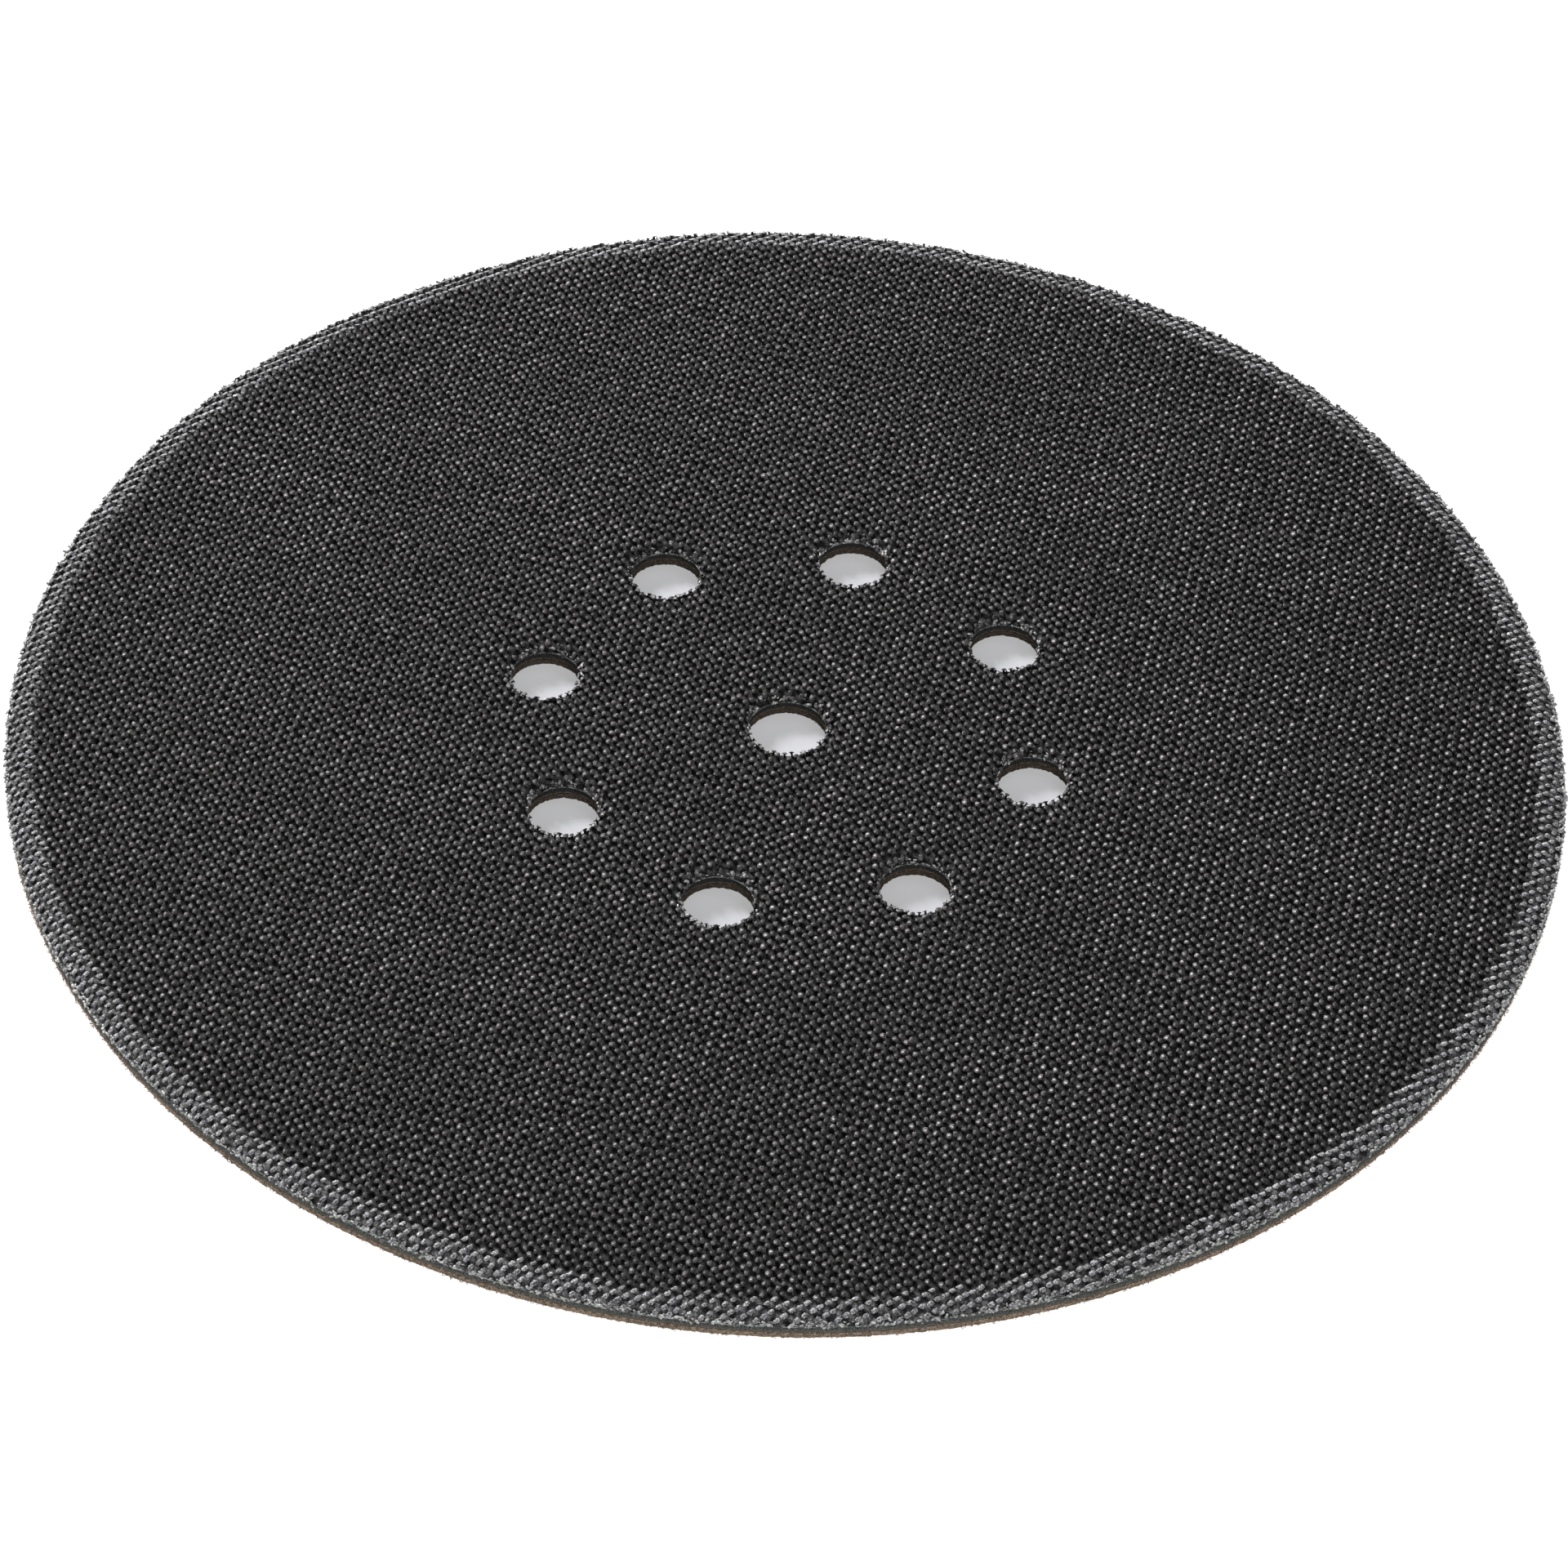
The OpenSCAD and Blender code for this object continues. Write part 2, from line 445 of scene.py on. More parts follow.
def strandMaterial(name, tones, paintedShades, rough, specular=0.5, sheen=0.0, mottle=None, paintedGlint=None):
    # for small repeated strands: coloured by their own tint, with painted shade low down and fine mottling
    paint, tree, shader = newMaterial(name, specular=specular, sheen=sheen)
    tint = addNode(tree, "ShaderNodeAttribute", attribute_name="tint").outputs["Fac"]
    rise = addNode(tree, "ShaderNodeAttribute", attribute_name="rise").outputs["Fac"]
    # painted shade: the lower parts of each strand are darker, as the shade among the strands would make them
    shade = colourRamp(tree, rise, paintedShades)
    tone = mixColours(tree, "MULTIPLY", 1.0, colourRamp(tree, tint, tones), shade)
    if mottle:
        # fine mottling, whose brightest specks are painted glints
        grain, _ = placeGrain(tree, *strandGrain)
        tone = mixColours(tree, "MULTIPLY", 1.0, tone, colourRamp(tree, grain, mottle))
    if paintedGlint:
        # a painted glint: a bright spot on the crown of the paler ones, standing in for a highlight
        crown = colourRamp(tree, rise, list(zip(paintedGlintSet["rise"], (grey(0), grey(1)))))
        share = mixColours(tree, "MULTIPLY", 1.0, crown, colourRamp(tree, tint, paintedGlint))
        tone = mixColours(tree, "MIX", share, tone, paintedGlintSet["colour"])
    tree.links.new(tone, shader.inputs["Base Color"])
    tree.links.new(addRange(tree, tint, (0, 1), rough), shader.inputs["Roughness"])
    return paint


def edgesOf(verts):
    # each edge once, in a steady order
    return list(dict.fromkeys(e for v in verts for e in v.link_edges))


def linkMesh(name, bm, paint):
    # makes the finished bmesh an object of the scene
    data = bpy.data.meshes.new(name)
    bm.to_mesh(data)
    bm.free()
    data.materials.append(paint)
    piece = bpy.data.objects.new(name, data)
    scene.collection.objects.link(piece)
    return piece


def scatterMesh(name, template, places):
    # stands a copy of the template at each place and makes it one real mesh
    cloud = bpy.data.meshes.new(name + "Places")
    cloud.vertices.add(len(places))
    cloud.vertices.foreach_set("co", np.array([tuple(p[0]) for p in places], np.float32).ravel())
    for key, column in (("turn", 1), ("size", 2)):
        layer = cloud.attributes.new(key, "FLOAT_VECTOR", "POINT")
        layer.data.foreach_set("vector", np.array([tuple(p[column]) for p in places], np.float32).ravel())
    layer = cloud.attributes.new("tint", "FLOAT", "POINT")
    layer.data.foreach_set("value", np.array([p[3] for p in places], np.float32))
    holder = bpy.data.objects.new(name + "Holder", cloud)
    scene.collection.objects.link(holder)
    tree = bpy.data.node_groups.new(name + "Scatter", "GeometryNodeTree")
    for side in ("INPUT", "OUTPUT"):
        tree.interface.new_socket(name="Geometry", in_out=side, socket_type="NodeSocketGeometry")
    start = tree.nodes.new("NodeGroupInput")
    end = tree.nodes.new("NodeGroupOutput")
    info = tree.nodes.new("GeometryNodeObjectInfo")
    info.inputs["Object"].default_value = template
    info.inputs["As Instance"].default_value = True
    stand = tree.nodes.new("GeometryNodeInstanceOnPoints")
    turn = addNode(tree, "GeometryNodeInputNamedAttribute", data_type="FLOAT_VECTOR", Name="turn")
    toTurn = tree.nodes.new("FunctionNodeEulerToRotation")
    size = addNode(tree, "GeometryNodeInputNamedAttribute", data_type="FLOAT_VECTOR", Name="size")
    real = tree.nodes.new("GeometryNodeRealizeInstances")
    link = tree.links.new
    link(start.outputs[0], stand.inputs["Points"])
    link(info.outputs["Geometry"], stand.inputs["Instance"])
    link(turn.outputs["Attribute"], toTurn.inputs[0])
    link(toTurn.outputs[0], stand.inputs["Rotation"])
    link(size.outputs["Attribute"], stand.inputs["Scale"])
    link(stand.outputs[0], real.inputs[0])
    link(real.outputs[0], end.inputs[0])
    holder.modifiers.new("scatter", "NODES").node_group = tree
    graph = bpy.context.evaluated_depsgraph_get()
    data = bpy.data.meshes.new_from_object(holder.evaluated_get(graph), depsgraph=graph)
    data.name = name
    bpy.data.objects.remove(holder)
    bpy.data.node_groups.remove(tree)
    piece = bpy.data.objects.new(name, data)
    scene.collection.objects.link(piece)
    setBakeMap(data)
    return piece


def setBakeMap(data):
    # the finish of a small repeated shape depends on its tint and height alone, so they are its map
    tint = np.zeros(len(data.vertices), np.float32)
    data.attributes["tint"].data.foreach_get("value", tint)
    corner = np.zeros(len(data.loops), np.int32)
    data.loops.foreach_get("vertex_index", corner)
    layer = data.uv_layers["OFBake"]
    uv = np.zeros(len(data.loops) * 2, np.float32)
    layer.uv.foreach_get("vector", uv)
    uv[0::2] = tint[corner]
    layer.uv.foreach_set("vector", uv)


def setRise(bm, riseAt):
    # how high each point of a strand rises, kept for its painted shade and glint, and for its map
    riseLayer = bm.verts.layers.float.new("rise")
    uvLayer = bm.loops.layers.uv.new("OFBake")
    for v in bm.verts:
        v[riseLayer] = riseAt(v.co)
    for face in bm.faces:
        face.smooth = True
        for loop in face.loops:
            loop[uvLayer].uv = (0.5, loop.vert[riseLayer])


def spreadSectors(name, template, places, count, slot, nodes):
    # one piece for each sector of the pad, so that none grows too heavy
    groups = [[] for _ in range(count)]
    for p in places:
        turn = math.atan2(p[0].y, p[0].x) / (2 * math.pi) + 0.5
        groups[min(int(turn * count), count - 1)].append(p)
    for index, group in enumerate(groups):
        piece = scatterMesh(f"{name}_{index + 1}", template, group)
        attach(piece, "root")
        if nodes:
            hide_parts(*nodes)
    bpy.data.objects.remove(template)


hookSet = {
    # the weave that carries the hooks, two to a cell
    "seed": 11,
    "rowPitch": 1.756 * mm,         # along the rows
    "rowAngle": 94.4,
    "pickPitch": 1.678 * mm,        # across them
    "pickAngle": 177.8,
    "ribAngle": 47.6,               # direction from one head to its nearest neighbour
    "scatter": 0.040 * mm,          # how far a hook stands off its place in the weave
    "edgeClear": 0.02 * mm,
    "holeClear": -0.05 * mm,        # hooks overhang the holes by a little
    "sectors": 8,
    # one mushroom, not quite round: its outline runs from the root to the crown, as (share of the stem's
    # or head's radius, share of the height, rise), and the rise counts for the colour only: painted shade
    # low down and a painted glint at the crown
    "headSeed": 5,
    "stemRadius": 0.13 * mm,
    "headRadius": 0.435 * mm,
    "stemOutline": [(1.25, -0.05, 0.1), (1.0, 0.72, 0.3)],
    "headOutline": [(1.0, 0.84, 0.6), (0.90, 0.94, 0.75), (0.0, 0.99, 1.0)],
    "sides": 7,
    "lumps": (0.035 * mm, 0.035 * mm, 0.0245 * mm),     # along x, y and z
    "lumpFrom": 0.3,                # share of the height over which a hook is lumpy
    "crownFrom": 0.98,              # and over which its rise, and so its painted shade, is not mottled
    # below that height the rise falls at random by up to this much, which mottles the painted shade
    "mottle": 0.20,
    # how each one differs
    "headStretch": (1.18, 0.88),    # along the rows and across them
    "headSpin": 0.25,               # radians that a head may have turned on its stem
    "tilt": 5.0,                    # degrees, how unevenly the hooks stand
    "grow": (0.90, 1.08),
    "narrow": (0.92, 1.08),
    "tall": (0.88, 1.0),
    "rowLean": 4.0,                 # degrees, each row leaning against the next
    "legStep": 0.10,                # how much lower every other row stands
    "openTint": (0.15, 0.46, 0.12),     # the least tint, and the parts of chance and of the dye's clouds
    "paintedRowGlint": (0.07, 0.15),        # painted highlight: every other row lighter, the rest darker, by this much at the middle and more towards +X
    "cloudGrain": 45,
    # the rolled band, where the die has pressed the hooks down and outward into ribs
    "bandWidth": 3.9 * mm,
    "bandBlur": 1.0 * mm,           # the band begins over this much, either way
    "bandWander": 0.5 * mm,
    "wanderGrain": 160,
    "bandChance": (0.35, 0.65),     # how far a hook has to be pressed to join it
    "bandLean": 28.0,
    "bandTall": 0.8,                # height where it begins
    "bandStretch": (1.30, 0.88, 0.48),      # and shape where it is fully pressed
    "bandSteady": 0.7,              # how much of its head's turn a hook has lost there
    "bandTintAndPaintedLight": (0.45, 0.25, 0.30),     # the parts of chance, of pressing, and of painted light lighter towards +X
    "pressedLoss": 0.4,             # share of the height that a pressed hook outside the ribs has lost
    # round the holes, where the punch has drawn them down and in
    "punchReach": 1.4 * mm,
    "punchLean": 32.0,
    "punchUneven": (0.4, 1.3),      # times that lean, hook by hook
    "punchLoss": 0.38,              # share of the height that is lost
    "paintedHoleLight": 0.22,
    "rimReach": 0.9 * mm,           # hooks this near a hole are a piece of their own
    # hooks knocked over by the punch, round each hole
    "lipHooks": 36,
    "lipReach": 1.1 * mm,
    "lipDip": (25, 75),             # degrees towards the hole
    "lipSway": 25,                  # and sideways
    "lipWide": (0.55, 0.9),
    "lipTall": (0.35, 0.6),
    "lipTint": (0.05, 0.47),
    # the finish, where the open field and the band have a stretch of the tints each
    "openTints": 0.48,              # the open field's are at most this
    "bandTints": 0.51,              # and the band's at least this
    "openCap": 0.49,                # the most that the painted light beside the holes may add up to
    "bandCap": 0.99,
    "tones": [(0.00, (0.033, 0.032, 0.033)), (0.18, (0.080, 0.077, 0.080)), (0.34, (0.165, 0.159, 0.165)),
              (0.48, (0.250, 0.241, 0.250)), (0.51, (0.120, 0.122, 0.128)), (1.00, (0.560, 0.570, 0.595))],
    # painted shade by rise: each hook is darker towards its root, where the shade between the hooks falls
    "paintedShades": [(0.0, grey(0.12)), (0.3, grey(0.3)), (0.5, grey(0.75)), (0.7, grey(1))],
    # fine mottling: real unevenness, but its brightest specks, up to three times the tone, are painted glints
    "specks": [(0.0, grey(0.02)), (0.3, (0.36, 0.36, 0.37)), (0.55, (1.0, 0.98, 0.99)),
               (1.0, (3.0, 2.94, 2.97))],
    # painted glint: the tints that get the bright spot on the crown
    "paintedGlints": [(0.26, grey(0)), (0.38, grey(1)), (0.49, grey(1)), (0.51, grey(0))],
    "rough": (0.35, 0.60),
    "specular": 0.16,
}


def hookTemplate(name, s, paint):
    # one mushroom hook, spun from its outline
    draw = random.Random(s["headSeed"])
    outline = [(share * s["stemRadius"], z, rise) for share, z, rise in s["stemOutline"]]
    outline += [(share * s["headRadius"], z, rise) for share, z, rise in s["headOutline"]]
    heights = {round(z, 2): rise for _, z, rise in outline}

    def riseAt(co):
        fall = 0 if co.z > s["crownFrom"] * hookHeight else draw.uniform(0, s["mottle"])
        return max(heights[round(co.z / hookHeight, 2)] - fall, 0)

    bm = bmesh.new()
    chain = [bm.verts.new((r, 0, z * hookHeight)) for r, z, _ in outline]
    edges = [bm.edges.new(pair) for pair in zip(chain, chain[1:])]
    bmesh.ops.spin(bm, geom=chain + edges, axis=(0, 0, 1), cent=(0, 0, 0), steps=s["sides"],
                   angle=2 * math.pi, use_merge=True)
    bmesh.ops.remove_doubles(bm, verts=bm.verts, dist=1e-6)
    bmesh.ops.edgeloop_fill(bm, edges=[e for e in bm.edges if e.is_boundary])
    bmesh.ops.recalc_face_normals(bm, faces=bm.faces)
    setRise(bm, riseAt)
    for v in bm.verts:
        if v.co.z > s["lumpFrom"] * hookHeight:
            v.co += Vector([draw.gauss(0, 1) * lump for lump in s["lumps"]])
    return linkMesh(name, bm, paint)


def leanTo(way, angle):
    # the turn that tips what stands upright towards a level direction
    return Matrix.Rotation(angle, 3, Vector((-way.y, way.x, 0)))


def hookPlaces(s):
    # a centred lattice of hooks over the pad, clear of the cut edge, as one list for the open field and
    # the band, and one for the hooks beside the holes
    draw = random.Random(s["seed"])
    cloth = layerShape("hook_ground_cloth")
    row, pick = flatWay(s["rowAngle"]), flatWay(s["pickAngle"])
    spareCells = 12         # the lattice is a little skewed, so its corners fall short of the radius
    reach = int(padRadius / s["pickPitch"]) + spareCells
    cells = range(-reach, reach + 1)
    limit = cloth["topEdge"] - s["edgeClear"]
    bandStart = padRadius - s["bandWidth"]
    cloudPlane = Vector((0, 0, 3))      # keeps the dye's noise apart from the band's
    leastTint, tintChance, tintCloud = s["openTint"]
    places, rimPlaces = [], []
    for i, j, half in product(cells, cells, (0.0, 0.5)):
        spot = row * s["rowPitch"] * (i + half) + pick * s["pickPitch"] * (j + half)
        spot += Vector((draw.gauss(0, 1), draw.gauss(0, 1), 0)) * s["scatter"]
        uneven = Euler((math.radians(draw.gauss(0, s["tilt"])), math.radians(draw.gauss(0, s["tilt"])), 0))
        grow = draw.uniform(*s["grow"])
        tall = draw.uniform(*s["tall"])
        spinOff = draw.uniform(-1, 1) * s["headSpin"]
        spin = spinOff + draw.choice((0, math.pi))
        shade = draw.random()
        # how far towards +X a hook stands, which sets the painted light on the band and on the rows
        side = spot.x / padRadius
        wander = noise.noise(spot * s["wanderGrain"]) * s["bandWander"]
        cloud = 0.5 + noise.noise(spot * s["cloudGrain"] + cloudPlane)
        pressed = smoothStep(bandStart - s["bandBlur"], bandStart + s["bandBlur"], spot.length + wander)
        if pressed > draw.uniform(*s["bandChance"]):
            root = spot
            spin += math.radians(s["ribAngle"]) - s["bandSteady"] * spinOff
            size = Vector((*s["headStretch"], s["bandTall"])).lerp(Vector(s["bandStretch"]), pressed) * grow
            # painted light: the last part paints the band lighter towards +X, as the light falls on that side
            parts = (shade, pressed, 0.5 + 0.5 * side)
            tint = clamp(sum(share * part for share, part in zip(s["bandTintAndPaintedLight"], parts)))
            tint = s["bandTints"] + (1 - s["bandTints"]) * tint
            fall = math.radians(s["bandLean"]) * clamp((spot.length - bandStart) / s["bandWidth"])
            lean = leanTo(spot.normalized(), fall)
        else:
            # the two legs of a filament spread from the weave, and their heads stand evenly
            fall = math.radians(s["rowLean"]) * (1 if half else -1)
            root = spot + pick * math.tan(fall) * hookHeight
            spin += math.radians(s["rowAngle"])
            tall -= s["legStep"] if half else 0
            size = Vector((*s["headStretch"], tall * (1 - s["pressedLoss"] * pressed))) * grow
            size.y *= draw.uniform(*s["narrow"])
            # painted highlight: every other row is painted lighter, more so towards +X, for the glints the
            # light raises there
            apart = s["paintedRowGlint"][0] + s["paintedRowGlint"][1] * side
            tint = leastTint + tintChance * shade + tintCloud * cloud + (-apart if half else apart)
            tint = s["openTints"] * clamp(tint)
            lean = Matrix.Rotation(fall, 3, row)
        gap = holeGap(root.x, root.y)
        punched = 1 - smoothStep(0, s["punchReach"], gap)
        if punched > 0:
            dip = math.radians(s["punchLean"]) * punched * draw.uniform(*s["punchUneven"])
            lean = leanTo(holeWay(root.x, root.y), dip) @ lean
            size.z *= 1 - s["punchLoss"] * punched
            cap = s["bandCap"] if tint >= s["bandTints"] else s["openCap"]
            # painted light: hooks beside the holes are painted lighter, at random, for light catching them
            # there
            tint = min(tint + s["paintedHoleLight"] * punched * shade, cap)
        if root.length > limit or gap < s["holeClear"]:
            continue
        place, normal = faceAt(cloth, root.x, root.y)
        if place is None:
            continue
        upright = Vector((0, 0, 1)).rotation_difference(normal).to_matrix()
        turn = lean @ upright @ uneven.to_matrix() @ Matrix.Rotation(spin, 3, "Z")
        chosen = rimPlaces if gap < s["rimReach"] else places
        chosen.append((place, turn.to_euler(), size, tint))
    return places, rimPlaces + knockedPlaces(s, draw, cloth)


def knockedPlaces(s, draw, cloth):
    # hooks that the punch has knocked over into the holes
    places = []
    for x, y, r in dustHoles:
        for _ in range(s["lipHooks"]):
            inward = -flatWay(draw.uniform(0, 360))
            root = Vector((x, y, 0)) - inward * (r + draw.uniform(0.0, s["lipReach"]))
            place, _ = faceAt(cloth, root.x, root.y)
            if place is None:
                continue
            lean = leanTo(inward, math.radians(draw.uniform(*s["lipDip"])))
            lean = lean @ Matrix.Rotation(math.radians(draw.gauss(0, s["lipSway"])), 3, inward)
            size = Vector([draw.uniform(*s[key]) for key in ("lipWide", "lipWide", "lipTall")])
            places.append((place, lean.to_euler(), size, draw.uniform(*s["lipTint"])))
    return places


def makeHooks(s):
    paint = strandMaterial("charcoalNylon", s["tones"], s["paintedShades"], s["rough"], specular=s["specular"],
                           mottle=s["specks"], paintedGlint=s["paintedGlints"])
    places, rimPlaces = hookPlaces(s)
    for name, some, count in (("mushroomHooks", places, s["sectors"]), ("holeRimHooks", rimPlaces, 1)):
        template = hookTemplate(name + "Template", s, paint)
        spreadSectors(name, template, some, count, "hooks", ["hook_pile"])
    print("hooks made:", len(places) + len(rimPlaces))


makeHooks(hookSet)


insideCut = 0.04 * mm               # a layer's faces are asked for their heights this far inside the cut
hollowFade = (0.3 * mm, 0.9 * mm)   # an underside rises to its hollow between these gaps from a cut
fineGrain, fineShare = 2.3, 0.5     # a rough wall's finer waves against its coarser ones
wallLevel = 0.35                    # where a rough wall lies in its waves, so that few stand proud


def placeRing(verts, ring, radius, height):
    # sets a ring of vertices on a circle about its own middle, each at the height found there
    x, y, side = ring
    for v in verts:
        way = Vector((v.co.x - x, v.co.y - y)).normalized()
        sunk = radius + side * insideCut
        v.co = (x + way.x * radius, y + way.y * radius, height(x + way.x * sunk, y + way.y * sunk))


def extrudeRing(bm, edges, ring, steps, radii, height):
    # carries a ring of edges on in steps from one radius to another, each at the height found for its
    # share of the way, and gives back the new vertices and the last edges
    verts = []
    for step in range(1, steps + 1):
        share = step / steps
        made = bmesh.ops.extrude_edge_only(bm, edges=edges)["geom"]
        newVerts = [g for g in made if isinstance(g, bmesh.types.BMVert)]
        radius = radii[0] + (radii[1] - radii[0]) * share
        placeRing(newVerts, ring, radius, lambda x, y: height(x, y, share))
        verts += newVerts
        edges = [g for g in made if isinstance(g, bmesh.types.BMEdge) and g.is_boundary]
    return verts, edges


def dieCutLayer(name, node, s, paint):
    # a disc with the dust holes punched through, following its CAD layer's faces, with cut walls as rough
    # as its stuff leaves them
    layer = layerShape(node)

    def upper(x, y, share=0.0):
        return faceAt(layer, x, y)[0].z

    def lower(x, y, share=1.0):
        cutGap = min(padRadius - math.hypot(x, y), holeGap(x, y))
        return faceAt(layer, x, y, above=False)[0].z + s["hollow"] * smoothStep(*hollowFade, cutGap)

    def wall(x, y, share):
        return upper(x, y) + (lower(x, y) - upper(x, y)) * share

    bm = bmesh.new()
    inHole = bm.verts.layers.float.new("inHole")
    rings = [((0, 0, -1), layer["topEdge"], layer["bottomEdge"], s["rimSegments"], s["rollWidth"])]
    rings += [((x, y, 1), r, r, s["holeSegments"], s["lipWidth"]) for x, y, r in dustHoles]
    wallVerts, upperEdges, lowerEdges = [], [], []
    for ring, topRadius, bottomRadius, segments, width in rings:
        inland = ring[2] * width
        firstVerts = bmesh.ops.create_circle(bm, segments=segments, radius=topRadius)["verts"]
        bmesh.ops.translate(bm, verts=firstVerts, vec=(ring[0], ring[1], 0))
        firstEdges = edgesOf(firstVerts)
        placeRing(firstVerts, ring, topRadius, upper)
        _, edges = extrudeRing(bm, firstEdges, ring, s["faceSteps"], (topRadius, topRadius + inland), upper)
        upperEdges += edges
        verts, edges = extrudeRing(bm, firstEdges, ring, s["wallSteps"], (topRadius, bottomRadius), wall)
        wallVerts += [(v, ring) for v in firstVerts + verts]
        _, edges = extrudeRing(bm, edges, ring, s["faceSteps"], (bottomRadius, bottomRadius + inland), lower)
        lowerEdges += edges
    for edges in (upperEdges, lowerEdges):
        bmesh.ops.triangle_fill(bm, edges=edges, use_beauty=True)
    for v, (x, y, side) in wallVerts:
        outOfStuff = Vector((v.co.x - x, v.co.y - y, 0)).normalized() * side
        rough = noise.noise(v.co * s["roughGrain"])
        rough += fineShare * noise.noise(v.co * s["roughGrain"] * fineGrain)
        v.co += outOfStuff * s["roughDepth"] * (wallLevel - rough)
        v[inHole] = 1.0 if side > 0 else 0.0
    bmesh.ops.recalc_face_normals(bm, faces=bm.faces)
    levelNormal = 0.9       # steeper faces than this are the wall's, and are shaded smooth
    for face in bm.faces:
        face.smooth = abs(face.normal.z) < levelNormal
    piece = linkMesh(name, bm, paint)
    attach(piece, "root")
    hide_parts(node)
    print(name, "made:", len(piece.data.polygons), "faces")
    return piece


clothSet = {
    "rimSegments": 720, "holeSegments": 60, "faceSteps": 6, "wallSteps": 2,
    "rollWidth": 3.7 * mm, "lipWidth": 2.0 * mm, "roughGrain": 900, "roughDepth": 0.10 * mm, "hollow": 0.0,
    "pitches": (1.28 * mm, 1.14 * mm),      # across the ribs and along them
    "grain": (4.5, 12.0), "relief": 0.12 * mm,
    "tones": [(0.2, grey(0.010)), (0.9, (0.080, 0.079, 0.079))],
    "specks": [(0, grey(0.15)), (0.5, grey(0.8)), (1, grey(2.2))],
    "bandTone": (2.6, 2.65, 2.75),          # times the ground's own tone in the rolled band
    "bandFade": (-0.5 * mm, 0.7 * mm),
}
foamSet = {
    "rimSegments": 1800, "holeSegments": 110, "faceSteps": 3, "wallSteps": 5,
    "rollWidth": 3.7 * mm, "lipWidth": 2.0 * mm, "roughGrain": 2600, "roughDepth": 0.10 * mm, "hollow": 0.0,
    "grain": (5.5, 6.0), "relief": 0.08 * mm,
    "tones": [(0.15, (0.022, 0.025, 0.025)), (0.55, (0.125, 0.136, 0.130)), (0.95, (0.36, 0.39, 0.37))],
    # the die has dragged brown lint up over the lower part of the cut: how much of it at which heights
    "lint": (0.36, 0.28, 0.21), "lintShares": (0.75, 0.0), "lintHeights": (1.05 * mm, 1.65 * mm),
    "holeShade": 0.32,
}
knitSet = {
    "rimSegments": 720, "holeSegments": 60, "faceSteps": 1, "wallSteps": 2,
    "rollWidth": 2.0 * mm, "lipWidth": 1.0 * mm, "roughGrain": 1400, "roughDepth": 0.10 * mm, "hollow": 0.0,
    "waleAngle": 2.0, "pitches": (0.55 * mm, 0.42 * mm),
    "grain": (7.0, 9.0), "relief": 0.10 * mm,
    "tones": [(0.2, (0.24, 0.18, 0.13)), (0.8, (0.66, 0.50, 0.38))],
    "specks": [(0, grey(0.4)), (1, grey(1.5))], "speckShare": 0.8,
    "holeShade": 0.22,
}
pileSet = {
    "rimSegments": 1800, "holeSegments": 110, "faceSteps": 1, "wallSteps": 5,
    "rollWidth": 1.0 * mm, "lipWidth": 1.0 * mm, "roughGrain": 2200, "roughDepth": 0.16 * mm,
    "hollow": 0.36 * mm,      # how far the underside lies above the tips of its loops, away from the cuts
    "grain": (5.0, 8.0), "relief": 0.12 * mm,
    "tones": [(0.2, (0.13, 0.085, 0.056)), (0.6, (0.76, 0.58, 0.43)), (0.95, (0.98, 0.88, 0.76))],
    "brushAndSheenPatches": [(0.35, grey(0.74)), (0.65, grey(1.10))],      # brushed one way and the other, painted lighter and darker as the pile's sheen shows them
    "holeShade": 0.22,
}


def makeHookCloth(s):
    paint, tree, shader = newMaterial("wovenGround", roughness=0.8, specular=0.06)
    relief, gap = placeWeave(tree, hookSet["ribAngle"], *s["pitches"])
    grain, _ = placeGrain(tree, *s["grain"])
    tone = colourRamp(tree, relief, s["tones"])
    tone = mixColours(tree, "MULTIPLY", 1.0, tone, colourRamp(tree, grain, s["specks"]))
    bandStart = padRadius - hookSet["bandWidth"]
    rolled = placeRadius(tree, *[bandStart + step for step in s["bandFade"]])
    paler = mixColours(tree, "MULTIPLY", 1.0, tone, (*s["bandTone"], 1))
    tree.links.new(mixColours(tree, "MIX", rolled, tone, paler), shader.inputs["Base Color"])
    addBump(tree, shader, addMath(tree, "SUBTRACT", relief, gap), s["relief"])
    piece = dieCutLayer("hookGroundCloth", "hook_ground_cloth", s, paint)


def makeFoam(s):
    paint, tree, shader = newMaterial("fineCellFoam", roughness=0.95, specular=0.15)
    grain, _ = placeGrain(tree, *s["grain"])
    tone = colourRamp(tree, grain, s["tones"])
    place = tree.nodes.new("ShaderNodeTexCoord")
    split = tree.nodes.new("ShaderNodeSeparateXYZ")
    tree.links.new(place.outputs["Object"], split.inputs[0])
    linty = addRange(tree, split.outputs["Z"], s["lintHeights"], s["lintShares"])
    tone = mixColours(tree, "MIX", linty, tone, (*s["lint"], 1))
    tree.links.new(paintHoleWallShade(tree, tone, s["holeShade"]), shader.inputs["Base Color"])
    addBump(tree, shader, grain, s["relief"])
    piece = dieCutLayer("foamCore", "foam_core", s, paint)


def makeKnit(s):
    paint, tree, shader = newMaterial("tricotGround", roughness=0.9, specular=0.15)
    relief, _ = placeWeave(tree, s["waleAngle"], *s["pitches"])
    grain, _ = placeGrain(tree, *s["grain"])
    tone = colourRamp(tree, relief, s["tones"])
    tone = mixColours(tree, "MULTIPLY", s["speckShare"], tone, colourRamp(tree, grain, s["specks"]))
    tree.links.new(paintHoleWallShade(tree, tone, s["holeShade"]), shader.inputs["Base Color"])
    addBump(tree, shader, relief, s["relief"])
    piece = dieCutLayer("loopKnit", "loop_ground_knit", s, paint)


